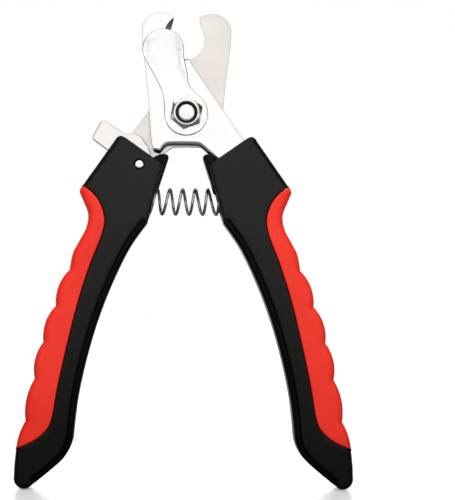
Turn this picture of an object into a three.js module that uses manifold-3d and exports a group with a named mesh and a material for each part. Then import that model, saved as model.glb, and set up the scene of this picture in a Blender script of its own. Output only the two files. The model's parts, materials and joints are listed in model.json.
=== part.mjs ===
// Pet nail trimmer: two crossed blades on one pivot bolt, a swinging nail guard, two overmoulded
// handles, a coil spring between them and a lever that locks the handles shut.
// Millimetres, +Z up. The pivot runs along Y, the front of the tool faces -Y, and the tool stands open
// on the ends of its handles. Every piece is drawn with y = 0 at the plane where the two blades meet.
// The finished pieces are then moved so that y = 0 is the plane that the tool's back lies on: the
// origin is the middle of the bolt head's flat end, which is level with the backs of the handles.
import * as THREE from 'three';
import { mergeVertices } from 'three/addons/utils/BufferGeometryUtils.js';
import Module from 'manifold-3d';

const wasm = await Module();
wasm.setup();

// ---- driving dimensions -------------------------------------------------------------------------
const BLADE_T = 3.0; // thickness of each blade
const BLADE_GAP = 0.1; // from the meeting plane to each blade
const GUARD_T = 1.3;
const HANDLE_T = 15; // handle thickness, front to back
const REST_Y = HANDLE_T / 2; // the plane that the back of the tool lies on
const CORE_T = 9.4; // thickness of the hard core inside the soft skin
const BEAD_T = 12.2; // thickness of the core's exposed inner bead
const BEAD_WIDTH = 1.75;
const GROOVE_WIDTH = 0.6; // between the bead and the skin
const EDGE = { deep: 1.9, wide: 1.0 }; // rounding of the handle's long edges: along Y, and inwards
const FIT = 0.2; // moulding gap between the pieces of a handle
const SLIDE = 0.15; // gap beside a moving plate
const POCKET_GAP = 0.3; // round a plate in its slot
const CIRCLE = 32; // segments of a full circle
const BOLT_R = 3.0; // M6 pivot bolt
const PIVOT_HOLE_R = 3.08;
const NUT_FLATS = 10;
const NUT_TURN_DEG = 20; // how far the nut's corners are turned from the X axis
const BORE_R = 3.12; // hole of the nut and of its lock ring
const PIN = { x: -15.6, z: -17.3, r: 1.45, hole: 1.53, mouth: 1.85, length: 14.4 };
const LUG_SWEEP_R = 16.75; // room that a blade's stop lug needs round the pivot
const LUG_SWEEP_DEG = [-10, -51.5]; // where in the right handle it needs it
const LEVER_TRAVEL_DEG = [-6, 12];
const GRIND = { x: -0.13, z: 25.94, r: 7.9, width: 1.85, land: 0.5 }; // cone that bevels the cutting edge
const SPRING = { z: -29.5, coilR: 4.2, wireR: 0.5, reach: 14.2, closedTurns: 1, openTurns: 5.75 };
const POCKET = { r: 5.4, bottom: 15.6 };
const THROUGH = 12; // reaches past the tool's front and back, for holes
const BEYOND = 20; // reaches well past them, for the lines that part the mouldings

// y of each layer, front to back
const FRONT_FACE = -(BLADE_GAP + BLADE_T);
const REAR_FACE = BLADE_GAP + BLADE_T;
const GUARD_BACK = FRONT_FACE - SLIDE;
const GUARD_FRONT = GUARD_BACK - GUARD_T;
const NUT_BACK = GUARD_FRONT - SLIDE;
const NUT = { hexH: 4.5, height: 6, collarR: 4.75, lipR: 3.65, ringR: 4.2 };
const CHAMFER = 0.75; // height of the cone on a hexagon's corners
const WASHER = { r: 6.3, t: 0.7 };
const HEAD_FACE_R = 4.7; // flat round end of the bolt's hexagonal head
const HEX_R = NUT_FLATS / Math.sqrt(3); // middle to corner of the nut and of the bolt head

// ---- solids -------------------------------------------------------------------------------------
const deg = (d) => (d * Math.PI) / 180;

function solidOf(geometry) {
  const bare = geometry.clone();
  for (const name of ['normal', 'uv']) bare.deleteAttribute(name);
  const merged = mergeVertices(bare, 1e-4);
  return new wasm.Manifold(
    new wasm.Mesh({
      numProp: 3,
      vertProperties: new Float32Array(merged.attributes.position.array),
      triVerts: new Uint32Array(merged.index.array),
    }),
  );
}

function geometryOf(solid) {
  const mesh = solid.getMesh();
  const geometry = new THREE.BufferGeometry();
  geometry.setAttribute('position', new THREE.BufferAttribute(new Float32Array(mesh.vertProperties), 3));
  geometry.setIndex(new THREE.BufferAttribute(new Uint32Array(mesh.triVerts), 1));
  geometry.computeVertexNormals();
  return geometry;
}

// A flat outline of [x, z] points, pulled from y0 (front) to y1 (back), with its edges rounded.
function prism(points, y0, y1, edge = { deep: 0, wide: 0 }) {
  const shape = new THREE.Shape(points.map(([x, z]) => new THREE.Vector2(x, z)));
  const geometry = new THREE.ExtrudeGeometry(shape, {
    depth: y1 - y0 - 2 * edge.deep,
    bevelEnabled: edge.deep > 0,
    bevelThickness: edge.deep,
    bevelSize: edge.wide,
    bevelOffset: -edge.wide,
    bevelSegments: 3,
  });
  geometry.rotateX(Math.PI / 2).translate(0, y1 - edge.deep, 0);
  return solidOf(geometry);
}

// A cylinder along Y, or along X when alongX is set.
function rod(r, from, to, { x = 0, z = 0, sides = CIRCLE, alongX = false, turn = 0 } = {}) {
  const geometry = new THREE.CylinderGeometry(r, r, to - from, sides);
  geometry.rotateY(turn);
  if (alongX) geometry.rotateZ(-Math.PI / 2).translate((from + to) / 2, 0, z);
  else geometry.translate(x, (from + to) / 2, z);
  return solidOf(geometry);
}

// A turned solid about the Y axis from [radius, y] points.
function turned(points, sides = CIRCLE) {
  return solidOf(new THREE.LatheGeometry(points.map(([r, y]) => new THREE.Vector2(r, y)), sides));
}

// ---- outlines -----------------------------------------------------------------------------------
const flip = (points) => points.map(([x, z]) => [-x, z]);
const onSide = (points, side) => (side > 0 ? points : flip(points));

function arc(cx, cz, r, from, to, steps) {
  const points = [];
  for (let i = 0; i <= steps; i++) {
    const a = deg(from + ((to - from) * i) / steps);
    points.push([cx + r * Math.cos(a), cz + r * Math.sin(a)]);
  }
  return points;
}

// An arc from p to q that bulges to the left of the way from p to q by rise. It leaves p out.
function bow(p, q, rise, steps) {
  const [dx, dz] = [q[0] - p[0], q[1] - p[1]];
  const half = Math.hypot(dx, dz) / 2;
  const r = (half * half + rise * rise) / (2 * rise);
  const swing = Math.asin(half / r);
  const [ux, uz] = [dx / (2 * half), dz / (2 * half)];
  const points = [];
  for (let i = 1; i <= steps; i++) {
    const a = swing * ((2 * i) / steps - 1);
    const along = r * Math.sin(a);
    const out = r * Math.cos(a) - (r - rise);
    points.push([(p[0] + q[0]) / 2 + ux * along - uz * out, (p[1] + q[1]) / 2 + uz * along + ux * out]);
  }
  return points;
}

function smooth(points, steps) {
  const curve = new THREE.SplineCurve(points.map(([x, z]) => new THREE.Vector2(x, z)));
  return curve.getPoints(steps).map((p) => [p.x, p.y]);
}

// An outline moved outwards by d along its corners' normals.
function grow(points, d) {
  const area = points.reduce((sum, [x, z], i) => {
    const [nx, nz] = points[(i + 1) % points.length];
    return sum + x * nz - nx * z;
  }, 0);
  const turn = Math.sign(area);
  return points.map(([x, z], i) => {
    const [px, pz] = points[(i + points.length - 1) % points.length];
    const [nx, nz] = points[(i + 1) % points.length];
    const a = new THREE.Vector2(x - px, z - pz).normalize();
    const b = new THREE.Vector2(nx - x, nz - z).normalize();
    const normal = new THREE.Vector2(a.y + b.y, -a.x - b.x).normalize().multiplyScalar(turn);
    const miter = Math.min(2, 1 / Math.max(0.3, Math.sqrt((1 + a.dot(b)) / 2)));
    return [x + normal.x * d * miter, z + normal.y * d * miter];
  });
}

// One blade with its tip at +x and its tang at -x. arch is how high the lower edge arches.
const NOTCH = { x: -0.84, z: 25.3, r: 6.9 };
const CROWN = { x: 9.0, z: 28.1, r: 6.1 };
const FRONT_ARCH = -10.65;
const REAR_ARCH = -11.1;

function bladeOutline(arch) {
  const notch = arc(NOTCH.x, NOTCH.z, NOTCH.r, -93, 28, 16);
  const tip = smooth([[4.7, 30.6], [4.4, 31.9], [4.65, 32.9], [5.3, 33.5], [6.6, 33.85]], 8);
  const crown = arc(CROWN.x, CROWN.z, CROWN.r, 105, 0, 12);
  const lug = [[14.9, 23.0], [14.1, 17.0], [12.8, 5.0], [11.7, -9.0], [10.9, -12.5]];
  const lower = smooth([[10.4, -12.9], [8.5, -13.1], [6.8, arch - 0.5], [4.6, arch], [-3.1, arch],
    [-5.0, arch - 0.6], [-7.5, -13.4], [-10.4, -16.0], [-12.2, -18.6]], 24);
  const tangInner = [[-14.2, -22.0], [-17.6, -25.2], [-18.8, -34.0], [-23.2, -46.0], [-28.5, -59.0]];
  const tangEnd = bow([-30.2, -62.6], [-33.6, -61.4], 1.2, 5);
  const tangOuter = [[-32.2, -56.0], [-28.9, -45.0], [-27.0, -34.0], [-26.4, -24.0], [-24.0, -15.0]];
  return [[-1.25, 17.55], ...notch, ...tip, ...crown, ...lug, ...lower, ...tangInner, [-30.2, -62.6],
    ...tangEnd, ...tangOuter];
}

// The handles are drawn for the right side, with x the distance from the middle plane.
const TOP_INNER = [7.7, -17.3];
const KINK = [12.8, -36.9];
const INNER_TOP = [12.5, -35.8];
const HEEL = [37.1, -109.3];
const CUSPS = [[38.6, -52.6], [43.1, -64.7], [47.2, -76.8], [50.0, -89.0], [52.9, -103.1], [56.0, -112.6]];
const LOBE_RISES = [1.5, 1.5, 1.4, 1.3, 0.6];
const innerSide = smooth([HEEL, [35.4, -95.0], [31.8, -78.9], [26.6, -62.7], [19.3, -46.5], KINK], 20);
const TOE = { x: 53.3, z: -122.3, r: 3.4 };
const toeEnd = arc(TOE.x, TOE.z, TOE.r, 0, -120, 7);
const toeSide = smooth([toeEnd.at(-1), [46.3, -121.0], [40.9, -116.3], [38.3, -112.6], HEEL], 8);

function handleOutline() {
  const corner = smooth([[20.2, -8.45], [21.8, -7.8], [22.95, -8.3], [23.7, -9.0]], 6);
  const shoulder = smooth([[34.3, -24.1], [35.45, -26.3], [34.3, -29.4], [32.6, -34.0], [33.2, -38.6],
    [35.6, -43.2], [37.6, -47.2], CUSPS[0]], 22);
  const lobes = CUSPS.slice(1).flatMap((cusp, i) => bow(CUSPS[i], cusp, LOBE_RISES[i], 7));
  return [...corner, ...shoulder, ...lobes, [56.55, -118.0], ...toeEnd, ...toeSide.slice(1),
    ...innerSide.slice(1), INNER_TOP, TOP_INNER];
}

// Where the red finger grip meets the black skin, and everything outside that line.
const gripLine = smooth([[34.6, -24.35], [31.6, -26.3], [28.9, -29.5], [27.3, -33.4], [27.0, -37.4],
  [28.4, -42.6], [31.6, -50.8], [35.4, -62.7], [38.9, -76.8], [42.0, -91.0], [44.0, -102.3],
  [46.2, -106.6], [50.4, -110.0], [57.5, -112.7]], 40);
const gripRegion = [...gripLine, [75, -113], [75, 5]];

// The hard core: its lump at the top is the stop for the other blade's lug.
function coreOutline() {
  const lump = [...arc(7.0, -14.85, 1.25, 185, 90, 4), [8.6, -13.6], [10.7, -14.6], [11.2, -15.4]];
  const outer = [[21.4, -10.2], [23.6, -12.2], [32.0, -24.3], [32.2, -27.0], [30.0, -33.6], [30.6, -39.4],
    [33.6, -45.0], [35.6, -53.4], [40.2, -66.6], [44.0, -78.4], [47.0, -90.4], [49.8, -104.0],
    [53.0, -113.0], [54.0, -119.0], [53.2, -122.0], [51.0, -123.5]];
  return [...outer, ...toeSide.slice(2), ...innerSide.slice(1), INNER_TOP, ...lump];
}

// The strip beside the inner side and the toe, below the kink, that the skin leaves open.
function beadStrip(width) {
  const edge = [...toeSide.slice(1), ...innerSide.slice(1)];
  const lean = (p, i) => {
    const [ax, az] = edge[Math.max(0, i - 1)];
    const [bx, bz] = edge[Math.min(edge.length - 1, i + 1)];
    const length = Math.hypot(bx - ax, bz - az);
    return [(bz - az) / length, -(bx - ax) / length];
  };
  const move = (d) => edge.map((p, i) => [p[0] + lean(p, i)[0] * d, p[1] + lean(p, i)[1] * d]);
  return [...move(width), ...move(-1.5).reverse()];
}

// The lock lever lies to the left of the pivot, so its outline is drawn there.
function leverOutline() {
  const nose = arc(0, 0, LUG_SWEEP_R + 0.1, 207.6, 221.4, 6);
  const boss = arc(PIN.x, PIN.z, 3.7, 12, -128, 8);
  const tab = [[-26.6, -12.3], [-30.4, -9.5], [-31.3, -8.6], [-31.2, -7.5], [-28.9, -3.2],
    [-28.0, -2.5], [-26.6, -2.75]];
  return [...tab, [-20.2, -7.1], [-18.6, -6.6], [-16.6, -7.0], ...nose, [-11.9, -13.4], ...boss];
}

const GUARD_END = { x: -7.85, z: 21.5, r: 7.0 };
const GUARD_LEAN = Math.atan2(-GUARD_END.x, GUARD_END.z);

function guardOutline() {
  const base = arc(0, 0, 7.33, 48, -185, 20);
  const end = arc(GUARD_END.x, GUARD_END.z, GUARD_END.r, 197, -13, 18);
  return [...base, [-7.75, 5.8], [-8.9, 9.2], ...end, [0.3, 13.7], [0.85, 10.1], [2.3, 8.0]];
}

// ---- steel parts --------------------------------------------------------------------------------
const pivotHole = () => rod(PIVOT_HOLE_R, -THROUGH, THROUGH);

// The ground bevel along the notch: a cone, wide at the outer face, that lies off the notch's middle so that
// the bevel is widest at the hook. It leaves a land beside the meeting plane.
function notchGrind(side, outerY, innerY) {
  const wide = GRIND.r;
  const narrow = GRIND.r - GRIND.width;
  const outward = Math.sign(outerY - innerY);
  const start = innerY + outward * GRIND.land;
  const points = outward > 0
    ? [[0, start], [narrow, start], [wide, outerY], [wide, outerY + 1], [0, outerY + 1]]
    : [[0, outerY - 1], [wide, outerY - 1], [wide, outerY], [narrow, start], [0, start]];
  return turned(points, 48).translate([side * GRIND.x, 0, GRIND.z]);
}

function frontBlade() {
  const plate = prism(flip(bladeOutline(FRONT_ARCH)), FRONT_FACE, -BLADE_GAP);
  return plate.subtract(pivotHole()).subtract(notchGrind(-1, FRONT_FACE, -BLADE_GAP));
}

function rearBlade() {
  const plate = prism(bladeOutline(REAR_ARCH), BLADE_GAP, REAR_FACE);
  return plate
    .subtract(pivotHole())
    .subtract(rod(PIN.hole, -THROUGH, THROUGH, PIN))
    .subtract(notchGrind(1, REAR_FACE, BLADE_GAP));
}

// The guard is pressed with a long raised flute that leans with it, away from the blades.
function nailGuard() {
  const plate = prism(guardOutline(), GUARD_FRONT, GUARD_BACK);
  const flute = new THREE.CapsuleGeometry(4.6, 13, 3, 20);
  flute.scale(1, 1, 0.3).rotateZ(GUARD_LEAN).rotateX(Math.PI / 2);
  flute.translate(-5.7, GUARD_BACK - 0.55, 15.6);
  const raised = solidOf(flute).intersect(prism(guardOutline(), GUARD_FRONT - 3, GUARD_BACK - 0.2));
  return plate.add(raised).subtract(pivotHole());
}

function pivotBolt() {
  const seat = REAR_FACE + SLIDE + WASHER.t + SLIDE;
  const tip = NUT_BACK - NUT.height + 0.5;
  const shank = turned([[0, tip], [BOLT_R - 0.35, tip], [BOLT_R, tip + 0.5], [BOLT_R, seat + 1],
    [0, seat + 1]]);
  const hex = rod(HEX_R, seat, REST_Y, { sides: 6, turn: deg(75) });
  const crown = turned([[0, seat - 1], [HEX_R + 0.1, seat - 1], [HEX_R + 0.1, REST_Y - CHAMFER],
    [HEAD_FACE_R, REST_Y], [0, REST_Y]]);
  return shank.add(hex.intersect(crown));
}

function pivotNut() {
  const top = NUT_BACK - NUT.height;
  const hexTop = NUT_BACK - NUT.hexH;
  const hex = rod(HEX_R, hexTop, NUT_BACK, { sides: 6, turn: deg(90 + NUT_TURN_DEG) });
  const crown = turned([[0, hexTop], [NUT.collarR + 0.1, hexTop], [HEX_R + 0.1, hexTop + CHAMFER],
    [HEX_R + 0.1, NUT_BACK + 0.5], [0, NUT_BACK + 0.5]]);
  const collar = turned([[0, top], [NUT.lipR + 0.35, top], [NUT.collarR - 0.15, top + 0.45],
    [NUT.collarR, top + 1.0], [NUT.collarR, NUT_BACK - 2], [0, NUT_BACK - 2]]);
  const bore = rod(BORE_R, top - 1, NUT_BACK + 1);
  const seat = rod(NUT.ringR + 0.1, top + 0.35, top + 1.75);
  const mouth = rod(NUT.lipR, top - 1, top + 1);
  return hex.intersect(crown).add(collar).subtract(bore).subtract(seat).subtract(mouth);
}

function nutLockRing() {
  const top = NUT_BACK - NUT.height;
  return rod(NUT.ringR, top + 0.5, top + 1.6).subtract(rod(BORE_R, top - 1, top + 3));
}

function pivotWasher() {
  const back = REAR_FACE + SLIDE;
  return rod(WASHER.r, back, back + WASHER.t).subtract(pivotHole());
}

function lockLever() {
  return prism(leverOutline(), FRONT_FACE + 0.05, -BLADE_GAP).subtract(rod(PIN.hole, -THROUGH, THROUGH, PIN));
}

const lockPin = () => rod(PIN.r, -PIN.length / 2, PIN.length / 2, PIN);

// A coil along X with its end turns closed up.
class CoilCurve extends THREE.Curve {
  getPoint(t, target = new THREE.Vector3()) {
    const { z, coilR, wireR, reach, closedTurns, openTurns } = SPRING;
    const turns = openTurns + 2 * closedTurns;
    const endPitch = 2.1 * wireR;
    const openPitch = (2 * reach - 2 * wireR - 2 * closedTurns * endPitch) / openTurns;
    const n = t * turns;
    const first = Math.min(n, closedTurns) * endPitch;
    const middle = Math.min(Math.max(n - closedTurns, 0), openTurns) * openPitch;
    const last = Math.max(n - closedTurns - openTurns, 0) * endPitch;
    const a = n * 2 * Math.PI;
    const x = -reach + wireR + first + middle + last;
    return target.set(x, coilR * Math.sin(a), z + coilR * Math.cos(a));
  }
}

function returnSpring() {
  const wire = new THREE.Shape().absarc(0, 0, SPRING.wireR, 0, 2 * Math.PI);
  const turns = SPRING.openTurns + 2 * SPRING.closedTurns;
  const options = { extrudePath: new CoilCurve(), steps: Math.round(turns * 14), curveSegments: 6 };
  return new THREE.ExtrudeGeometry(wire, options);
}

// ---- handles ------------------------------------------------------------------------------------
// What each handle has to leave free. side is -1 for the left handle and 1 for the right one.
function handleRoom(side) {
  const frontLayer = [FRONT_FACE - SLIDE, 0];
  const rearLayer = [0, REAR_FACE + SLIDE];
  const overlap = SLIDE - BLADE_GAP; // the two layers' rooms run into each other by this much
  const ownLayer = side < 0 ? [-overlap, rearLayer[1]] : [frontLayer[0], overlap];
  const otherLayer = side < 0 ? frontLayer : rearLayer;
  const blade = side < 0 ? bladeOutline(REAR_ARCH) : flip(bladeOutline(FRONT_ARCH));
  const sweep = [[0, 0], ...arc(0, 0, LUG_SWEEP_R, ...LUG_SWEEP_DEG, 10)];
  let room = prism(grow(blade, POCKET_GAP), ...ownLayer)
    .add(prism(onSide(sweep, side), ...otherLayer))
    .add(rod(POCKET.r, Math.min(0, side * POCKET.bottom), Math.max(0, side * POCKET.bottom),
      { z: SPRING.z, alongX: true }));
  if (side < 0) {
    for (let i = 0; i <= 3; i++) {
      const turn = LEVER_TRAVEL_DEG[0] + ((LEVER_TRAVEL_DEG[1] - LEVER_TRAVEL_DEG[0]) * i) / 3;
      const swung = prism(grow(leverOutline(), POCKET_GAP), ...frontLayer)
        .translate([-PIN.x, 0, -PIN.z]).rotate([0, turn, 0]).translate([PIN.x, 0, PIN.z]);
      room = room.add(swung);
    }
    room = room.add(rod(PIN.hole, -THROUGH, THROUGH, PIN));
  }
  return room;
}

function handlePieces(side) {
  const half = HANDLE_T / 2;
  const body = prism(onSide(handleOutline(), side), -half, half, EDGE);
  const room = handleRoom(side);
  const web = (gap) => prism(onSide(grow(coreOutline(), gap), side), -CORE_T / 2 - gap, CORE_T / 2 + gap);
  const bead = prism(onSide(beadStrip(BEAD_WIDTH), side), -BEAD_T / 2, BEAD_T / 2);
  const inside = prism(onSide(handleOutline(), side), -half, half);
  const core = web(0).add(bead.intersect(inside)).subtract(room);
  let skin = body
    .subtract(prism(onSide(grow(gripRegion, FIT), side), -BEYOND, BEYOND))
    .subtract(web(FIT))
    .subtract(prism(onSide(beadStrip(BEAD_WIDTH + GROOVE_WIDTH), side), -BEYOND, BEYOND))
    .subtract(room);
  if (side < 0) skin = skin.subtract(rod(PIN.mouth, -THROUGH, THROUGH, PIN));
  const grip = body.intersect(prism(onSide(gripRegion, side), -BEYOND, BEYOND)).subtract(web(FIT));
  return { core, skin, grip };
}

// ---- materials ----------------------------------------------------------------------------------
const material = (color, roughness, metalness) =>
  new THREE.MeshStandardMaterial({ color, roughness, metalness });
const steel = material(0xd9d8d5, 0.25, 1);
const springSteel = material(0x8c8b88, 0.3, 1);
const blackPlastic = material(0x262725, 0.55, 0);
const blackCore = material(0x1c1d1b, 0.45, 0);
const redRubber = material(0xe23a2c, 0.6, 0);
const nylon = material(0x1d3640, 0.6, 0);

// ---- assembly -----------------------------------------------------------------------------------
const trimmer = new THREE.Group();

// Adds the largest body of a solid as one named mesh, so that slivers left by a cut are dropped, and
// moves it to the resting plane.
function put(name, shape, finish) {
  let geometry = shape;
  if (!shape.isBufferGeometry) {
    const bodies = shape.decompose().sort((a, b) => b.volume() - a.volume());
    geometry = geometryOf(bodies[0]);
  }
  geometry.translate(0, -REST_Y, 0);
  const mesh = new THREE.Mesh(geometry, finish);
  mesh.name = name;
  trimmer.add(mesh);
}

put('front_blade', frontBlade(), steel);
put('rear_blade', rearBlade(), steel);
put('nail_guard', nailGuard(), steel);
put('pivot_bolt', pivotBolt(), steel);
put('pivot_nut', pivotNut(), steel);
put('nut_lock_ring', nutLockRing(), nylon);
put('pivot_washer', pivotWasher(), steel);
put('return_spring', returnSpring(), springSteel);
put('lock_lever', lockLever(), steel);
put('lock_pin', lockPin(), steel);
for (const [side, name] of [[-1, 'left'], [1, 'right']]) {
  const { core, skin, grip } = handlePieces(side);
  put(`${name}_handle_core`, core, blackCore);
  put(`${name}_handle_skin`, skin, blackPlastic);
  put(`${name}_finger_grip`, grip, redRubber);
}

export default trimmer;
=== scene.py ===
"""The looks of the pet nail trimmer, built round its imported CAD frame.

Outlines are drawn in millimetres in the tool's own plane: x to the right and z up from the pivot axis,
seen from the front. Depths are millimetres behind the plane where the two blades meet, so the front is
negative. Handles are drawn for the right side, and the left one is their mirror image.
"""
import json
import math

import bpy
import numpy as np
from mathutils import Matrix, Vector
from mathutils.geometry import convex_hull_2d, delaunay_2d_cdt


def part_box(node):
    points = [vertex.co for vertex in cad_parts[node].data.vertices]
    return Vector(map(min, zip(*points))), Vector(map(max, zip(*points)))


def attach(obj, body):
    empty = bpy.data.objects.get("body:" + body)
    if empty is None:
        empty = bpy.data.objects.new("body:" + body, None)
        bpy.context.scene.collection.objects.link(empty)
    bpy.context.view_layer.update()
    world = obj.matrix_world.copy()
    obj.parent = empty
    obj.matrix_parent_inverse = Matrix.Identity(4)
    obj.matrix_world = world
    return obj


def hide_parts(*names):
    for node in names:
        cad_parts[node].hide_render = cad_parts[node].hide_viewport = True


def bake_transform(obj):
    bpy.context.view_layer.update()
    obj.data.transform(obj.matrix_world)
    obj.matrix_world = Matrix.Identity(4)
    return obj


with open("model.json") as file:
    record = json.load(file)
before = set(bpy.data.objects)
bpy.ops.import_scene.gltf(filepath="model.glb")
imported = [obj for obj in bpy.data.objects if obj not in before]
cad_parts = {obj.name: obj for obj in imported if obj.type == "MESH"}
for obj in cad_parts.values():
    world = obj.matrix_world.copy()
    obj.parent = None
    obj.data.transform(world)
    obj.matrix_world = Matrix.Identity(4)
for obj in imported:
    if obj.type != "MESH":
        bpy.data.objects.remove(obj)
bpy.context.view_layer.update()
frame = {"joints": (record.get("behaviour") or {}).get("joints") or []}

# ---- sizes --------------------------------------------------------------------------------------
MM = 0.001
JOINTS = {joint["name"]: joint for joint in frame["joints"]}
MEETING_Y = JOINTS["handle_pivot"]["pos_m"][1]  # the plane where the two blades meet, in metres
PIN_X, _, PIN_Z = [v / MM for v in JOINTS["lock_lever_pivot"]["pos_m"]]
LEVER_RANGE = JOINTS["lock_lever_pivot"]["range_deg"]


def depths(node):
    """Front and back of a CAD node, in millimetres behind the plane where the blades meet."""
    low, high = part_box(node)
    return (low.y - MEETING_Y) / MM, (high.y - MEETING_Y) / MM


SKIN_HALF = depths("left_handle_skin")[1]  # half the thickness of a handle
FRONT_PLATE = depths("front_blade")
REAR_PLATE = depths("rear_blade")
LEVER_PLATE = depths("lock_lever")
GUARD_BACK = depths("nail_guard")[1]
NUT_DEPTHS = depths("pivot_nut")
RING_DEPTHS = depths("nut_lock_ring")
WASHER_DEPTHS = depths("pivot_washer")
BOLT_DEPTHS = depths("pivot_bolt")
PIN_DEPTHS = depths("lock_pin")

GUARD_T = 1.3  # sheet thickness of the guard
GUARD_RAISE = 0.6  # height of its pressed flute
SKIN_SUNK = 0.2  # how far the black skin lies below the red grip
WEB_HALF = 4.7  # half the thickness of the handle's hard core under the skin
BEAD_HALF = 6.1  # half the thickness of the core's bead along the inner side
BEAD_WIDTH = 1.75
GROOVE_WIDTH = 0.6  # between the bead and the skin
FIT = 0.2  # seam between two mouldings
SLIDE = 0.15  # gap beside a plate in its slot
THREAD_R = 3.0  # the bolt's shank and end
THREAD_HOLE_R = 3.12  # bore of the nut and of its nylon ring
PIVOT_HOLE_R = 3.08
HEX_CHAMFER_R = 6.0  # where the chamfers of the nut and of the bolt's head start
PIN_R = 1.45
PIN_HOLE_R = 1.53
PIN_MOUTH_R = 1.85
LUG_SWEEP_R = 16.75
LUG_SWEEP_DEG = (-10, -51.5)
HEX_R = 10 / math.sqrt(3)  # middle to corner of a fastener 10 mm across its flats
SPRING = {"z": -29.5, "coil_r": 4.2, "wire_r": 0.5, "reach": 14.2, "closed": 1, "open": 5.75,
          "phase": 0.34, "fan": 120}
POCKET_R = 5.4
POCKET_BOTTOM = 15.6
TANG_GAP = 0.3  # round a blade's tang in its handle
LEVER_GAP = 0.3  # round the lever anywhere in its travel
THROUGH = (-12, 12)  # depths that pass right through a handle
STEP_WIDTH = 0.06  # how wide a steep step in a face is drawn
BROKEN_EDGE = 0.2  # a blade's fine edge on the face that isn't ground
FLUTE = {"rises_from": 5, "rise": 12, "ends_at": 29.2, "fall": 3.5}  # distances from the pivot


# ---- curves -------------------------------------------------------------------------------------
def arc(cx, cz, r, start, end, steps):
    """Points of an arc, both ends included. Angles are in degrees."""
    angles = [math.radians(start + (end - start) * i / steps) for i in range(steps + 1)]
    return [(cx + r * math.cos(a), cz + r * math.sin(a)) for a in angles]


def bow(p, q, rise, steps):
    """Points after p on an arc from p to q that bulges by rise to the left of the way."""
    dx, dz = q[0] - p[0], q[1] - p[1]
    half = math.hypot(dx, dz) / 2
    r = (half * half + rise * rise) / (2 * rise)
    swing = math.asin(half / r)
    ux, uz = dx / (2 * half), dz / (2 * half)
    points = []
    for i in range(1, steps + 1):
        a = swing * (2 * i / steps - 1)
        along, out = r * math.sin(a), r * math.cos(a) - (r - rise)
        points.append(((p[0] + q[0]) / 2 + ux * along - uz * out, (p[1] + q[1]) / 2 + uz * along + ux * out))
    return points


def smooth(points, steps):
    """A Catmull-Rom curve through the points."""
    p = [Vector(points[0]), *map(Vector, points), Vector(points[-1])]
    curve = []
    for i in range(steps + 1):
        t = min(i / steps * (len(points) - 1), len(points) - 1 - 1e-9)
        k, u = int(t), t - int(t)
        a, b, c, d = p[k:k + 4]
        v0, v1 = (c - a) / 2, (d - b) / 2
        q = (2 * b - 2 * c + v0 + v1) * u ** 3 + (-3 * b + 3 * c - 2 * v0 - v1) * u ** 2 + v0 * u + b
        curve.append((q.x, q.y))
    return curve


def flip(points):
    """The mirror image of an outline, for the other side of the tool."""
    return [(-x, z) for x, z in points]


def shifted(points, d):
    """An open line moved to its left by d."""
    p = np.array(points, float)
    along = np.gradient(p, axis=0)
    along /= np.linalg.norm(along, axis=1)[:, None]
    return [tuple(q) for q in p + d * np.column_stack((-along[:, 1], along[:, 0]))]


# ---- plates -------------------------------------------------------------------------------------
# An edge says how a plate's two faces fall away beside a stretch of its outline: at which distances
# the mesh needs points, and how deep the front and the back have fallen at a distance from the line.
def rounded(radius, steps=6):
    """A quarter round on both faces."""
    turns = [math.radians(90 * k / steps) for k in range(1, steps + 1)]

    def drop(d):
        inward = np.clip(radius - d, 0, radius)
        return radius - np.sqrt(radius ** 2 - inward ** 2)

    return [radius * (1 - math.cos(t)) for t in turns], drop, drop


def eased(width, depth, on_front):
    """A wide rounded slope on one face, and a fine broken edge on the other."""
    turns = [math.radians(90 * k / 7) for k in range(1, 8)]

    def slope(d):
        return depth * (1 - np.sqrt(1 - np.clip(1 - d / width, 0, 1) ** 2))

    def broken(d):
        return np.clip(1 - d / BROKEN_EDGE, 0, 1) * BROKEN_EDGE

    rings = [BROKEN_EDGE] + [width * (1 - math.cos(t)) for t in turns]
    return (rings, slope, broken) if on_front else (rings, broken, slope)


def sunk(edge, depth):
    """The same edge on a part of the face that lies deeper by depth."""
    rings, front, back = edge
    reach = rings[-1]
    return (rings, lambda d: np.where(d < reach, front(d) + depth, 0),
            lambda d: np.where(d < reach, back(d) + depth, 0))


def beaded(radius):
    """A rounded bead beside the line, then a straight step down to the core's web."""
    rings, rounding, _ = rounded(radius)

    def drop(d):
        step = np.clip((d - BEAD_WIDTH) / STEP_WIDTH, 0, 1) * (BEAD_HALF - WEB_HALF)
        return np.maximum(rounding(d), step)

    return rings + [BEAD_WIDTH, BEAD_WIDTH + STEP_WIDTH], drop, drop


def outline(strokes, clockwise, step):
    """Joins strokes of (points, edge) into one closed loop: its points, and each segment's edge."""
    points, edges = [], []
    for line, edge in strokes:
        for p in line:
            if not points or math.dist(p, points[-1]) > 1e-3:
                points.append(tuple(p))
                edges.append(edge)
            else:
                edges[-1] = edge
    if math.dist(points[0], points[-1]) < 1e-3:
        points.pop()
        edges.pop()
    fine, owner = [], []
    for i, p in enumerate(points):
        q = points[(i + 1) % len(points)]
        edge = edges[i]
        pieces = max(1, math.ceil(math.dist(p, q) / step))
        for k in range(pieces):
            fine.append((p[0] + (q[0] - p[0]) * k / pieces, p[1] + (q[1] - p[1]) * k / pieces))
            owner.append(edge)
    area = sum(a[0] * b[1] - b[0] * a[1] for a, b in zip(fine, fine[1:] + fine[:1]))
    if (area < 0) != clockwise:
        fine = fine[::-1]
        owner = owner[::-1]
        owner = owner[1:] + owner[:1]
    return fine, owner


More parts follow.
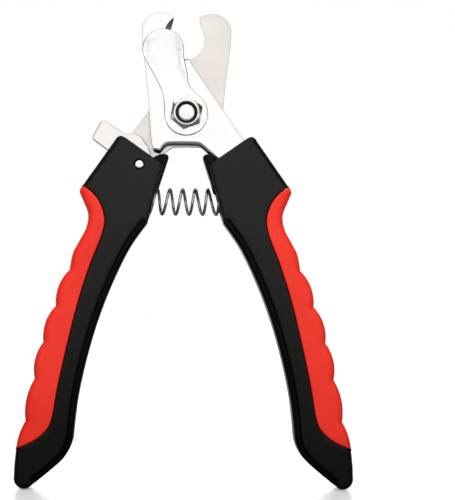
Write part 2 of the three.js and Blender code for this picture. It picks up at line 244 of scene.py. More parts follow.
def distance(points, starts, ends):
    """Distance of each point to the nearest of the segments."""
    best = np.full(len(points), 1e9)
    way = ends - starts
    length2 = np.maximum((way ** 2).sum(1), 1e-12)
    for i in range(0, len(points), 2000):
        p = points[i:i + 2000]
        rel = p[:, None, :] - starts[None]
        t = np.clip((rel * way).sum(2) / length2, 0, 1)
        gap = rel - t[..., None] * way
        best[i:i + 2000] = np.sqrt((gap ** 2).sum(2).min(1))
    return best


def contains(points, starts, ends):
    """True where a point is inside the closed loops."""
    inside = np.zeros(len(points), bool)
    for i in range(0, len(points), 2000):
        x, z = points[i:i + 2000, 0, None], points[i:i + 2000, 1, None]
        crosses = (starts[:, 1] > z) != (ends[:, 1] > z)
        with np.errstate(divide="ignore", invalid="ignore"):
            at = starts[:, 0] + (z - starts[:, 1]) * (ends[:, 0] - starts[:, 0]) / (ends[:, 1] - starts[:, 1])
        inside[i:i + 2000] = (crosses & (x < at)).sum(1) % 2 == 1
    return inside


def ring_points(loop, owner, edges, step):
    """Points at each edge's ring distances from the loop's own line, with the edge they belong to."""
    p = np.array(loop)
    way = np.roll(p, -1, 0) - p
    normal = np.column_stack((-way[:, 1], way[:, 0])) / np.linalg.norm(way, axis=1)[:, None]
    found = []
    for i, point in enumerate(p):
        before, after = normal[i - 1], normal[i]
        turn = math.atan2(before[0] * after[1] - before[1] * after[0], before @ after)
        if owner[i - 1] == owner[i] and turn > -0.25:
            mean = before + after
            directions = [(owner[i], mean / np.linalg.norm(mean))]
        else:
            fan = max(1, math.ceil(max(0.0, -turn) / 0.3))
            start = math.atan2(before[1], before[0])
            directions = []
            for k in range(fan + 1):
                a = start + turn * k / fan
                side = owner[i - 1] if k < fan / 2 else owner[i]
                directions.append((side, np.array((math.cos(a), math.sin(a)))))
        for edge, direction in directions:
            for ring in edges[edge][0]:
                found.append((edge, ring, point + direction * ring))
    kept, seen = [], set()
    for edge, ring, q in found:
        cell = (edge, ring, round(q[0] / (step * 0.5)), round(q[1] / (step * 0.5)))
        if cell not in seen:
            seen.add(cell)
            kept.append((edge, ring, q))
    return kept


def face_points(loops, owners, edges, step, grid):
    """All points of a plate's face: the outline, its rings, and a grid over the rest."""
    starts = np.concatenate([np.array(loop) for loop in loops])
    ends = np.concatenate([np.roll(np.array(loop), -1, 0) for loop in loops])
    owner = np.concatenate([np.array(o) for o in owners])
    rings = [r for loop, o in zip(loops, owners) for r in ring_points(loop, o, edges, step)]
    inner = []
    if rings:
        spots = np.array([r[2] for r in rings])
        wanted = np.array([r[1] for r in rings])
        whose = np.array([r[0] for r in rings])
        good = contains(spots, starts, ends)
        for edge in set(owner):
            mask = owner == edge
            gap = distance(spots, starts[mask], ends[mask])
            own = whose == edge
            good &= np.where(own, gap > wanted - 0.02 - 0.02 * wanted, gap > 0.06)
        inner.append(spots[good])
    low, high = starts.min(0), starts.max(0)
    rows = np.arange(low[1], high[1], grid * 0.866)
    mesh = [(x + (k % 2) * grid / 2, z) for k, z in enumerate(rows) for x in np.arange(low[0], high[0], grid)]
    mesh = np.array(mesh)
    good = contains(mesh, starts, ends)
    for edge in set(owner):
        mask = owner == edge
        far = (edges[edge][0][-1] if edges[edge][0] else 0) + grid * 0.35
        good &= distance(mesh, starts[mask], ends[mask]) > far
    inner.append(mesh[good])
    return starts, ends, owner, np.concatenate(inner)


def relief(name, strokes, front, back, grid=1.6, step=0.5, holes=(), swell=None):
    """A closed plate between two depths. Its edges fall away as its strokes say; swell moves both faces."""
    edges, loops, owners = [], [], []

    def index(edge):
        edges.append(edge)
        return len(edges) - 1

    shapes = [(strokes, False)] + [([(hole, edge)], True) for hole, edge in holes]
    known = {}
    for group, clockwise in shapes:
        marked = []
        for line, edge in group:
            if id(edge) not in known:
                known[id(edge)] = index(edge)
            marked.append((line, known[id(edge)]))
        loop, owner = outline(marked, clockwise, step)
        loops.append(loop)
        owners.append(owner)
    starts, ends, owner, inner = face_points(loops, owners, edges, step, grid)
    count = len(starts)
    points = np.concatenate((starts, inner))
    first, borders = 0, []
    for loop in loops:
        borders += [(first + i, first + (i + 1) % len(loop)) for i in range(len(loop))]
        first += len(loop)
    flat, _, faces, origin, _, _ = delaunay_2d_cdt([Vector(p) for p in points], borders, [], 0, 1e-5)
    flat = np.array([tuple(v) for v in flat])
    faces = np.array(faces)
    faces = faces[contains(flat[faces].mean(1), starts, ends)]
    moved = {old: new for new, olds in enumerate(origin) for old in olds}
    fall = np.zeros((2, len(flat)))
    for i, (_, front_drop, back_drop) in enumerate(edges):
        mask = owner == i
        if mask.any():
            gap = distance(flat, starts[mask], ends[mask])
            fall[0] = np.maximum(fall[0], front_drop(gap))
            fall[1] = np.maximum(fall[1], back_drop(gap))
    lift = swell(flat) if swell else 0
    near = np.column_stack((flat[:, 0], front + fall[0] - lift, flat[:, 1]))
    far = np.column_stack((flat[:, 0], back - fall[1] - lift, flat[:, 1]))
    total = len(flat)
    walls = []
    for a, b in borders:
        i, j = moved[a], moved[b]
        walls.append((i, i + total, j + total, j))
    everything = [tuple(f) for f in faces] + [tuple(f[::-1] + total) for f in faces] + walls
    return piece(name, np.concatenate((near, far)), everything)


# ---- meshes -------------------------------------------------------------------------------------
def piece(name, points, faces, sharp=38):
    """A mesh object from points in millimetres, smooth but for edges sharper than an angle."""
    mesh = bpy.data.meshes.new(name)
    placed = np.array(points, float) * MM + np.array((0, MEETING_Y, 0))
    mesh.from_pydata([tuple(p) for p in placed], [], [tuple(int(i) for i in f) for f in faces])
    mesh.validate()
    made = bpy.data.objects.new(name, mesh)
    bpy.context.scene.collection.objects.link(made)
    finish_shading(mesh, sharp)
    return made


def finish_shading(mesh, sharp=38):
    """Smooth shading, but for edges sharper than an angle in degrees."""
    mesh.polygons.foreach_set("use_smooth", [True] * len(mesh.polygons))
    mesh.set_sharp_from_angle(angle=math.radians(sharp))
    mesh.update()


def prism(points, front, back):
    """A plain closed prism, used only to cut others."""
    loop = [p for i, p in enumerate(points) if math.dist(p, points[i - 1]) > 1e-3]
    n = len(loop)
    area = sum(a[0] * b[1] - b[0] * a[1] for a, b in zip(loop, loop[1:] + loop[:1]))
    if area < 0:
        loop = loop[::-1]
    corners = [(x, front, z) for x, z in loop] + [(x, back, z) for x, z in loop]
    faces = [tuple(range(n)), tuple(range(2 * n - 1, n - 1, -1))]
    faces += [(i, i + n, (i + 1) % n + n, (i + 1) % n) for i in range(n)]
    return piece("cutter", corners, faces)


def turned(name, profile, segments=96, hexagon=None, turn=0):
    """A solid turned about the pivot from (radius, depth) points. hexagon limits its radius to a hexagon
    of that size from middle to corner, turned by an angle."""
    angles = np.radians(np.arange(segments) * 360 / segments + turn)
    limit = np.full(segments, 1e9)
    if hexagon:
        within = np.radians((np.arange(segments) * 360 / segments) % 60 - 30)
        limit = np.minimum(hexagon * math.cos(math.radians(30)) / np.cos(within), hexagon * 0.985)
    points, rows, faces = [], [], []
    for radius, depth in profile:
        if radius <= 0:
            rows.append([len(points)] * segments)
            points.append((0, depth, 0))
            continue
        r = np.minimum(radius, limit)
        rows.append(list(range(len(points), len(points) + segments)))
        points += list(zip(r * np.cos(angles), [depth] * segments, r * np.sin(angles)))
    closed = profile[0][0] > 0
    for k in range(len(rows) if closed else len(rows) - 1):
        a, b = rows[k], rows[(k + 1) % len(rows)]
        for i in range(segments):
            j = (i + 1) % segments
            face = []
            for v in (a[i], b[i], b[j], a[j]):
                if v not in face:
                    face.append(v)
            if len(face) > 2:
                faces.append(tuple(face))
    return piece(name, points, faces)


def cut(target, *cutters, sharp=38):
    """Takes the cutters away from the target for good."""
    for cutter in cutters:
        modifier = target.modifiers.new("cut", "BOOLEAN")
        modifier.operation = "DIFFERENCE"
        modifier.solver = "EXACT"
        modifier.object = cutter
        bpy.context.view_layer.update()
        graph = bpy.context.evaluated_depsgraph_get()
        mesh = bpy.data.meshes.new_from_object(target.evaluated_get(graph))
        target.modifiers.clear()
        target.data = mesh
        bpy.data.objects.remove(cutter)
    finish_shading(target.data, sharp)
    return target


def place(made, body, slot, material, *nodes):
    """Rides a piece on its body, gives it its finish, and hides the CAD nodes that it stands for."""
    made.data.materials.clear()
    made.data.materials.append(material)
    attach(made, body)
    if nodes:
        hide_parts(*nodes)
    return made


# ---- outlines of the blades, the lever and the guard --------------------------------------------
SHARP = rounded(0.12, 2)
NOTCH = {"x": -0.84, "z": 25.3, "r": 6.9}
CROWN = {"x": 9.0, "z": 28.1, "r": 6.1}
FRONT_ARCH = -10.65
REAR_ARCH = -11.1
GRIND = {"x": -0.13, "z": 25.94, "r": 7.9, "width": 1.85, "land": 0.5}  # cone that bevels the cutting edge


def blade_strokes(arch, eased_on_front):
    """A blade with its tip at +x and its tang at -x. arch is the height of its lower edge."""
    notch = arc(NOTCH["x"], NOTCH["z"], NOTCH["r"], -93, 28, 40)
    tip = smooth([(4.7, 30.6), (4.4, 31.9), (4.65, 32.9), (5.3, 33.5), (6.6, 33.85)], 16)
    crown = arc(CROWN["x"], CROWN["z"], CROWN["r"], 100, 0, 26)
    outer = [crown[-1], (14.9, 23.0), (14.1, 17.0), (12.8, 5.0), (11.7, -9.0), (10.9, -12.5)]
    lower = smooth([(10.4, -12.9), (8.5, -13.1), (6.8, arch - 0.5), (4.6, arch), (-3.1, arch),
                    (-5.0, arch - 0.6), (-7.5, -13.4), (-10.4, -16.0), (-12.2, -18.6)], 60)
    tang = [(-12.2, -18.6), (-14.2, -22.0), (-17.6, -25.2), (-18.8, -34.0),
            (-23.2, -46.0), (-28.5, -59.0), (-30.2, -62.6), *bow((-30.2, -62.6), (-33.6, -61.4), 1.2, 8),
            (-32.2, -56.0), (-28.9, -45.0), (-27.0, -34.0), (-26.4, -24.0), (-24.0, -15.0)]
    side = [(-24.0, -15.0), (-1.25, 17.55)]
    edge = rounded(0.2, 3)
    return [([(-1.25, 17.55), notch[0]], edge), (notch, SHARP), (tip + crown, edge),
            (outer + lower[:1], edge), (lower, eased(1.7, 1.5, eased_on_front)), (tang, SHARP), (side, edge)]


def flip_strokes(strokes):
    return [(flip(line), edge) for line, edge in strokes]


def lever_outline():
    """The lock lever lies left of the pivot, so it is drawn there."""
    tab = [(-26.6, -12.3), (-30.4, -9.5)]
    corner = smooth([(-30.4, -9.5), (-31.3, -8.6), (-31.2, -7.5)], 8)
    end = smooth([(-28.9, -3.2), (-28.0, -2.5), (-26.6, -2.75)], 8)
    nose = [*smooth([(-20.2, -7.1), (-18.6, -6.6), (-16.6, -7.0)], 8),
            *arc(0, 0, LUG_SWEEP_R + 0.1, 207.6, 221.4, 12)]
    boss = arc(PIN_X, PIN_Z, 3.7, 12, -128, 16)
    return tab + corner + end + nose + [(-11.9, -13.4)] + boss


GUARD_END = {"x": -7.85, "z": 21.5, "r": 7.0}


def guard_outline():
    base = arc(0, 0, 7.33, 48, -185, 60)
    left = smooth([base[-1], (-7.75, 5.8), (-8.9, 9.2), (-11.6, 14.4)], 16)
    end = arc(GUARD_END["x"], GUARD_END["z"], GUARD_END["r"], 197, -13, 48)
    right = smooth([end[-1], (0.3, 13.7), (0.85, 10.1), (2.3, 8.0), base[0]], 20)
    return base + left[1:-1] + end + right[1:-1]


# ---- outlines of a handle -----------------------------------------------------------------------
HEEL = (37.1, -109.3)
KINK = (12.8, -36.9)
CUSPS = [(38.6, -52.6), (43.1, -64.7), (47.2, -76.8), (50.0, -89.0), (52.9, -103.1), (56.0, -112.6)]
LOBE_RISES = [1.5, 1.5, 1.4, 1.3, 0.6]
TOP_INNER = (7.7, -17.3)
INNER_TOP = (12.5, -35.8)
SHOULDER = (34.3, -24.1)
INNER_SIDE = smooth([HEEL, (35.4, -95.0), (31.8, -78.9), (26.6, -62.7), (19.3, -46.5), KINK], 100)
TOE = {"x": 53.3, "z": -122.3, "r": 3.4}
TOE_END = arc(TOE["x"], TOE["z"], TOE["r"], 0, -120, 14)
TOE_SIDE = smooth([TOE_END[-1], (46.3, -121.0), (40.9, -116.3), (38.3, -112.6), HEEL], 30)
BEAD_START = 3  # point of the toe side where the bead begins, beside the tip
SKIN_STOP = tuple(Vector(TOE_SIDE[BEAD_START - 1]).lerp(Vector(TOE_SIDE[BEAD_START]), 0.85))
GRIP_LINE = smooth([(34.6, -24.35), (31.6, -26.3), (28.9, -29.5), (27.3, -33.4), (27.0, -37.4),
                    (28.4, -42.6), (31.6, -50.8), (35.4, -62.7), (38.9, -76.8), (42.0, -91.0),
                    (44.0, -102.3), (46.2, -106.6), (50.4, -110.0), (56.2, -112.35)], 120)


def grip_outer():
    """The shoulder and the five finger lobes, from the top down."""
    line = smooth([SHOULDER, (35.45, -26.3), (34.3, -29.4), (32.6, -34.0), (33.2, -38.6), (35.6, -43.2),
                   (37.6, -47.2), CUSPS[0]], 50)
    for start, end, rise in zip(CUSPS, CUSPS[1:], LOBE_RISES):
        line += bow(start, end, rise, 22)
    return line


def grip_strokes():
    seam = shifted(GRIP_LINE, FIT)
    return [(grip_outer(), rounded(2.6)), (seam[::-1], rounded(0.35, 3))]


def skin_strokes():
    """The black skin: its collar, its seam with the grip, the toe, and back beside the bead."""
    top = [TOP_INNER, *smooth([(20.2, -8.45), (21.8, -7.8), (22.95, -8.3), (23.7, -9.0)], 12)]
    outer = [top[-1], SHOULDER, GRIP_LINE[0]]
    toe = [GRIP_LINE[-1], CUSPS[-1], (56.55, -118.0), *TOE_END, TOE_SIDE[0], SKIN_STOP]
    groove = shifted([SKIN_STOP] + TOE_SIDE[BEAD_START:] + INNER_SIDE[1:], -BEAD_WIDTH - GROOVE_WIDTH)
    under = [toe[-1], groove[0]]
    inner = [INNER_TOP, TOP_INNER]
    side = rounded(2.4)
    seam = rounded(0.3, 3)
    return [(top, rounded(0.5, 3)), (outer, side), (GRIP_LINE, seam), (toe, side), (under, seam),
            (groove, seam), ([groove[-1], INNER_TOP], seam), (inner, rounded(1.2, 4))]


def core_strokes():
    """The hard core: the stop lump, the part hidden under the skin, and the bead along the inner side."""
    lump = [*arc(7.0, -14.85, 1.25, 185, 90, 10), (8.6, -13.6), (10.7, -14.6), (11.2, -15.4)]
    hidden = [(11.2, -15.4), (21.4, -10.2), (23.6, -12.2), (33.5, -24.6), (32.4, -27.0), (30.0, -33.6),
              (30.6, -39.4), (33.6, -45.0), (35.6, -53.4), (40.2, -66.6), (44.0, -78.4), (47.0, -90.4),
              (49.8, -104.0), (52.6, -111.2), (55.2, -112.0), (55.2, -113.6), (54.2, -119.0), (53.2, -122.0),
              (51.9, -123.0), TOE_SIDE[BEAD_START]]
    inner = TOE_SIDE[BEAD_START:] + INNER_SIDE[1:]
    wall = [KINK, INNER_TOP, lump[0]]
    step = BEAD_HALF - WEB_HALF
    return [(lump, sunk(rounded(0.9, 4), step)), (hidden, sunk(rounded(0.1, 2), step)),
            (inner, beaded(1.2)), (wall, sunk(rounded(0.5, 3), step))]


# ---- cutters ------------------------------------------------------------------------------------
def grown(points, d):
    """A closed outline moved outwards by d."""
    p = [q for i, q in enumerate(points) if math.dist(q, points[i - 1]) > 1e-3]
    area = sum(a[0] * b[1] - b[0] * a[1] for a, b in zip(p, p[1:] + p[:1]))
    out = []
    for i, q in enumerate(p):
        a = (Vector(q) - Vector(p[i - 1])).normalized()
        b = (Vector(p[(i + 1) % len(p)]) - Vector(q)).normalized()
        normal = Vector((a.y + b.y, -a.x - b.x)).normalized() * math.copysign(1, area)
        miter = min(2, 1 / max(0.3, math.sqrt((1 + a.dot(b)) / 2)))
        out.append((q[0] + normal.x * d * miter, q[1] + normal.y * d * miter))
    return out


def lever_room():
    """A simple slot that holds the lever anywhere in its travel."""
    reach = []
    for degrees in LEVER_RANGE:
        a = -math.radians(degrees)
        for x, z in grown(lever_outline(), LEVER_GAP):
            dx, dz = x - PIN_X, z - PIN_Z
            reach.append((PIN_X + dx * math.cos(a) - dz * math.sin(a),
                          PIN_Z + dx * math.sin(a) + dz * math.cos(a)))
    return [reach[i] for i in convex_hull_2d([Vector(p) for p in reach])]


def rod(r, front, back, x=0, z=0, sides=48):
    """A round cutter along the depth."""
    return prism(arc(x, z, r, 0, 360 * (sides - 1) / sides, sides - 1), front, back)


def spring_pocket(side):
    """A round hole along X that seats an end of the spring."""
    cutter = rod(POCKET_R, 0, POCKET_BOTTOM)
    middle = np.array([v.co for v in cutter.data.vertices]) - np.array((0, MEETING_Y, 0))
    turned_points = np.column_stack((side * middle[:, 1], middle[:, 0], middle[:, 2] + SPRING["z"] * MM))
    turned_points[:, 1] += MEETING_Y
    for vertex, co in zip(cutter.data.vertices, turned_points):
        vertex.co = co
    if side > 0:
        cutter.data.flip_normals()
    return cutter


def handle_cutters(side):
    """What a handle leaves free: its blade's tang, the other blade's lug, the spring and the lever."""
    front_layer = (FRONT_PLATE[0] - SLIDE, 0)
    rear_layer = (0, REAR_PLATE[1] + SLIDE)
    sweep = [(0, 0), *arc(0, 0, LUG_SWEEP_R, *LUG_SWEEP_DEG, 20)]
    if side < 0:
        tang = [p for line, _ in blade_strokes(REAR_ARCH, False) for p in line]
        cutters = [prism(grown(tang, TANG_GAP), -0.05, rear_layer[1]), prism(flip(sweep), *front_layer),
                   prism(lever_room(), *front_layer), rod(PIN_HOLE_R, *THROUGH, PIN_X, PIN_Z)]
    else:
        tang = flip([p for line, _ in blade_strokes(FRONT_ARCH, True) for p in line])
        cutters = [prism(grown(tang, TANG_GAP), front_layer[0], 0.05), prism(sweep, *rear_layer)]
    return cutters + [spring_pocket(side)]


# ---- pieces -------------------------------------------------------------------------------------
def sided(strokes, side):
    return strokes if side > 0 else flip_strokes(strokes)


def web_cutter(side):
    """Takes the core's web, and its moulding gap, out of the skin or the grip."""
    line = [p for stroke, _ in core_strokes() for p in stroke]
    if side < 0:
        line = flip(line)
    return prism(grown(line, FIT), -WEB_HALF - FIT, WEB_HALF + FIT)


def make_handle(name, side, materials):
    body = f"{name}_half"
    skin_half = SKIN_HALF - SKIN_SUNK
    core = relief(f"{name}_core", sided(core_strokes(), side), -BEAD_HALF, BEAD_HALF, grid=2.5)
    skin = relief(f"{name}_skin", sided(skin_strokes(), side), -skin_half, skin_half)
    grip = relief(f"{name}_grip", sided(grip_strokes(), side), -SKIN_HALF, SKIN_HALF, grid=1.2)
    cut(core, *handle_cutters(side))
    cut(skin, web_cutter(side), *handle_cutters(side))
    cut(grip, web_cutter(side))
    if side < 0:
        cut(skin, rod(PIN_MOUTH_R, *THROUGH, PIN_X, PIN_Z))
    place(core, body, "core_plastic", materials["core"], f"{name}_handle_core")
    place(skin, body, "soft_black", materials["skin"], f"{name}_handle_skin")
    place(grip, body, "red_rubber", materials["grip"], f"{name}_finger_grip")


def circle(r, x=0, z=0, steps=48):
    return arc(x, z, r, 0, 360 * (steps - 1) / steps, steps - 1)


def notch_grind(side, outer, inner):
    """A cone, wide at the blade's outer face, that grinds the cutting bevel. It lies off the notch's middle,
    so that the bevel is widest at the hook."""
    outward = math.copysign(1, outer - inner)
    wide, narrow = GRIND["r"], GRIND["r"] - GRIND["width"]
    start = inner + outward * GRIND["land"]
    end = outer + outward
    cone = turned("cutter", [(0, start), (narrow, start), (wide, outer), (wide, end), (0, end)], segments=160)
    for vertex in cone.data.vertices:
        vertex.co.x += side * GRIND["x"] * MM
        vertex.co.z += GRIND["z"] * MM
    if outward < 0:
        cone.data.flip_normals()
    return cone


def make_blades(materials):
    hole = rounded(0.15, 2)
    front = relief("front_blade_plate", flip_strokes(blade_strokes(FRONT_ARCH, True)), *FRONT_PLATE, step=0.4,
                   holes=[(circle(PIVOT_HOLE_R), hole)])
    rear = relief("rear_blade_plate", blade_strokes(REAR_ARCH, False), *REAR_PLATE, step=0.4,
                  holes=[(circle(PIVOT_HOLE_R), hole), (circle(PIN_HOLE_R, PIN_X, PIN_Z), hole)])
    cut(front, notch_grind(-1, FRONT_PLATE[0], FRONT_PLATE[1]), sharp=28)
    cut(rear, notch_grind(1, REAR_PLATE[1], REAR_PLATE[0]), sharp=28)
    place(front, "right_half", "blade_steel", materials["front_steel"], "front_blade")
    # the rear blade gets the darker steel, which carries painted shade
    place(rear, "left_half", "blade_steel", materials["rear_steel"], "rear_blade")


def flute(points):
    """How far the guard's pressed flute stands forward: highest along the guard's own middle line."""
    lean = math.atan2(-GUARD_END["x"], GUARD_END["z"])
    along = -points[:, 0] * math.sin(lean) + points[:, 1] * math.cos(lean)
    across = points[:, 0] * math.cos(lean) + points[:, 1] * math.sin(lean)
    width = np.interp(along, (0, 8, 14, 24), (4.4, 4.4, 5.0, 6.6))
    arch = np.clip(1 - (across / width) ** 2, 0, 1)
    start = np.clip((along - FLUTE["rises_from"]) / FLUTE["rise"], 0, 1)
    end = np.clip((FLUTE["ends_at"] - along) / FLUTE["fall"], 0, 1)
    ease = (start * start * (3 - 2 * start)) * (end * end * (3 - 2 * end))
    return GUARD_RAISE * arch * ease


def make_guard(materials):
    guard = relief("guard_plate", [(guard_outline(), rounded(0.3, 3))], GUARD_BACK - GUARD_T, GUARD_BACK,
                   grid=0.8, step=0.4, holes=[(circle(PIVOT_HOLE_R), rounded(0.15, 2))], swell=flute)
    place(guard, "guard", "guard_steel", materials["guard_steel"], "nail_guard")


def make_lever(materials):
    lever = relief("lever_plate", [(lever_outline(), rounded(0.35, 3))], *LEVER_PLATE, step=0.35,
                   holes=[(circle(PIN_HOLE_R, PIN_X, PIN_Z), rounded(0.1, 2))])
    place(lever, "lever", "blade_steel", materials["lever_steel"], "lock_lever")


def make_nut(materials):
    """A locknut: a hexagon with a round collar that holds the nylon ring."""
    top, back = NUT_DEPTHS
    hex_top = top + 1.5
    cone = [(4.75 + 1.25 * k / 8, hex_top + 0.75 * k / 8) for k in range(9)]
    foot = [(HEX_CHAMFER_R - 1.1 * k / 6, back - 0.45 + 0.45 * k / 6) for k in range(7)]
    lip = [(3.65, top + 0.55), (3.65, top + 0.3), (3.8, top + 0.05), (4.0, top), (4.3, top + 0.08),
           (4.6, top + 0.35), (4.72, top + 0.8), (4.72, hex_top - 0.2)]
    inside = [(THREAD_HOLE_R, back), (THREAD_HOLE_R, top + 1.75), (4.28, top + 1.75), (4.28, top + 0.6)]
    nut = turned("nut_body", lip + cone + foot + inside, segments=144, hexagon=HEX_R, turn=20)
    ring_top, ring_back = RING_DEPTHS
    ring = turned("nut_ring", [(THREAD_HOLE_R, ring_top + 0.25), (3.3, ring_top + 0.05), (3.5, ring_top),
                               (4.2, ring_top), (4.2, ring_back), (THREAD_HOLE_R, ring_back)])
    place(nut, "left_half", "fastener_steel", materials["fastener"], "pivot_nut")
    place(ring, "left_half", "nylon", materials["nylon"], "nut_lock_ring")


def make_bolt(materials):
    """The bolt's end at the front is slightly hollow, and its hexagonal head is at the back."""
    tip, rest = BOLT_DEPTHS
    seat = WASHER_DEPTHS[1] + SLIDE
    cone = [(HEX_CHAMFER_R - 1.3 * k / 8, rest - 0.75 + 0.75 * k / 8) for k in range(9)]
    end = [(0, tip + 0.12), (1.2, tip + 0.08), (2.0, tip), (2.35, tip), (2.6, tip + 0.12),
           (THREAD_R, tip + 0.6)]
    head = [(THREAD_R, seat), (5.2, seat), (HEX_CHAMFER_R, seat + 0.3)]
    bolt = turned("bolt_body", end + head + cone + [(0, rest)], segments=144, hexagon=HEX_R, turn=15)
    place(bolt, "left_half", "fastener_steel", materials["fastener"], "pivot_bolt")


def make_washer(materials):
    near, far = WASHER_DEPTHS
    washer = turned("washer_body", [(PIVOT_HOLE_R, near), (6.2, near), (6.3, near + 0.1), (6.3, far - 0.15),
                                    (6.15, far), (3.2, far), (PIVOT_HOLE_R, far - 0.12)])
    place(washer, "left_half", "fastener_steel", materials["fastener"], "pivot_washer")


def make_pin(materials):
    front, back = PIN_DEPTHS
    ends = [(0, 0), (0.8, 0.01), (1.25, 0.05), (1.38, 0.15), (PIN_R, 0.35)]
    profile = [(r, front + d) for r, d in ends] + [(r, back - d) for r, d in ends[::-1]]
    pin = turned("pin_body", profile, segments=48)
    for vertex in pin.data.vertices:
        vertex.co.x += PIN_X * MM
        vertex.co.z += PIN_Z * MM
    place(pin, "left_half", "fastener_steel", materials["fastener"], "lock_pin")


def make_spring(materials):
    """A coil along X with its end turns closed up, fanned wider at the bottom as if bent by the handles that
    it sits between.
    """
    s = SPRING
    turns = s["open"] + 2 * s["closed"]
    end_pitch = 2.1 * s["wire_r"]
    open_pitch = (2 * s["reach"] - 2 * s["wire_r"] - 2 * s["closed"] * end_pitch) / s["open"]
    n = np.linspace(0, turns, int(turns * 40) + 1)
    x = -s["reach"] + s["wire_r"] + np.minimum(n, s["closed"]) * end_pitch
    x += np.clip(n - s["closed"], 0, s["open"]) * open_pitch
    x += np.maximum(n - s["closed"] - s["open"], 0) * end_pitch
    a = (n + s["phase"]) * 2 * math.pi
    x *= 1 - s["coil_r"] * np.cos(a) / s["fan"]
    radial = np.column_stack((np.zeros_like(a), np.sin(a), np.cos(a)))
    path = np.column_stack((x, np.zeros_like(a), np.full_like(a, s["z"]))) + s["coil_r"] * radial
    along = np.gradient(path, axis=0)
    along /= np.linalg.norm(along, axis=1)[:, None]
    side = np.cross(along, radial)
    around = np.linspace(0, 2 * math.pi, 14, endpoint=False)
    rings = (path[:, None] + s["wire_r"] * (np.cos(around)[None, :, None] * radial[:, None]
                                            + np.sin(around)[None, :, None] * side[:, None]))
    m = len(around)
    faces = [(i * m + j, i * m + (j + 1) % m, (i + 1) * m + (j + 1) % m, (i + 1) * m + j)
             for i in range(len(path) - 1) for j in range(m)]
    faces += [tuple(range(m))[::-1], tuple((len(path) - 1) * m + j for j in range(m))]
    spring = piece("coil_spring", rings.reshape(-1, 3), faces)
    spring.data.materials.append(materials["spring"])
    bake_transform(spring)
    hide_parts("return_spring")


# ---- materials ----------------------------------------------------------------------------------
def set_range(node, start, end, low, high):
    """Sets a Map Range node to turn start..end into low..high."""
    for name, number in (("From Min", start), ("From Max", end), ("To Min", low), ("To Max", high)):
        node.inputs[name].default_value = number


class Surface:
    """A procedural material under construction, in the object's own space (metres)."""

    def __init__(self, name):
        self.material = bpy.data.materials.new(name)
        self.material.use_nodes = True
        self.nodes = self.material.node_tree.nodes
        self.links = self.material.node_tree.links
        self.shader = self.nodes["Principled BSDF"]
        self.space = self.nodes.new("ShaderNodeTexCoord").outputs["Object"]

    def noise(self, scale, detail=3, roughness=0.5, stretch=(1, 1, 1), turn=(0, 0, 0)):
        mapping = self.nodes.new("ShaderNodeMapping")
        mapping.inputs["Scale"].default_value = stretch
        mapping.inputs["Rotation"].default_value = turn
        texture = self.nodes.new("ShaderNodeTexNoise")
        texture.inputs["Scale"].default_value = scale
        texture.inputs["Detail"].default_value = detail
        texture.inputs["Roughness"].default_value = roughness
        self.links.new(self.space, mapping.inputs["Vector"])
        self.links.new(mapping.outputs[0], texture.inputs["Vector"])
        return texture.outputs["Fac"]

    def ramp(self, value, low, high, start=0.35, end=0.65):
        """Maps a value from start..end to between two numbers or two colours."""
        if isinstance(low, (int, float)):
            node = self.nodes.new("ShaderNodeMapRange")
            set_range(node, start, end, low, high)
            self.links.new(value, node.inputs["Value"])
            return node.outputs["Result"]
        node = self.nodes.new("ShaderNodeMix")
        node.data_type = "RGBA"
        self.links.new(self.ramp(value, 0.0, 1.0, start, end), node.inputs["Factor"])
        node.inputs["A"].default_value = (*low, 1)
        node.inputs["B"].default_value = (*high, 1)
        return node.outputs["Result"]

    def to_camera(self, seen, otherwise):
        """One value for the camera, and another for light that bounces off the tool."""
        is_camera = self.nodes.new("ShaderNodeLightPath").outputs["Is Camera Ray"]
        return self.math("MULTIPLY_ADD", is_camera, self.math("SUBTRACT", seen, otherwise), otherwise)

    def facing(self):
        """How squarely the surface faces the front or the back, from 0 to 1."""
        split = self.nodes.new("ShaderNodeSeparateXYZ")
        self.links.new(self.nodes.new("ShaderNodeTexCoord").outputs["Normal"], split.inputs[0])
        return self.math("ABSOLUTE", split.outputs["Y"])

    def from_origin(self):
        """Distance from the object's own origin, in metres."""
        node = self.nodes.new("ShaderNodeVectorMath")
        node.operation = "LENGTH"
        self.links.new(self.space, node.inputs[0])
        return node.outputs["Value"]

    def math(self, operation, *values):
        node = self.nodes.new("ShaderNodeMath")
        node.operation = operation
        for socket, value in zip(node.inputs, values):
            if isinstance(value, bpy.types.NodeSocket):
                self.links.new(value, socket)
            else:
                socket.default_value = value
        return node.outputs[0]

    def scaled(self, colour, factor):
        node = self.nodes.new("ShaderNodeVectorMath")
        node.operation = "SCALE"
        self.links.new(colour, node.inputs[0])
        self.links.new(factor, node.inputs["Scale"])
        return node.outputs[0]

    def bump(self, *layers):
        """Layers of (height, strength, distance in metres), laid over each other."""
        normal = None
        for height, strength, reach in layers:
            node = self.nodes.new("ShaderNodeBump")
            node.inputs["Strength"].default_value = strength
            node.inputs["Distance"].default_value = reach
            self.links.new(height, node.inputs["Height"])
            if normal:
                self.links.new(normal, node.inputs["Normal"])
            normal = node.outputs["Normal"]
        self.links.new(normal, self.shader.inputs["Normal"])

    def set(self, **values):
        for name, value in values.items():
            socket = self.shader.inputs[name.replace("_", " ")]
            if isinstance(value, bpy.types.NodeSocket):
                self.links.new(value, socket)
            else:
                socket.default_value = value
        return self


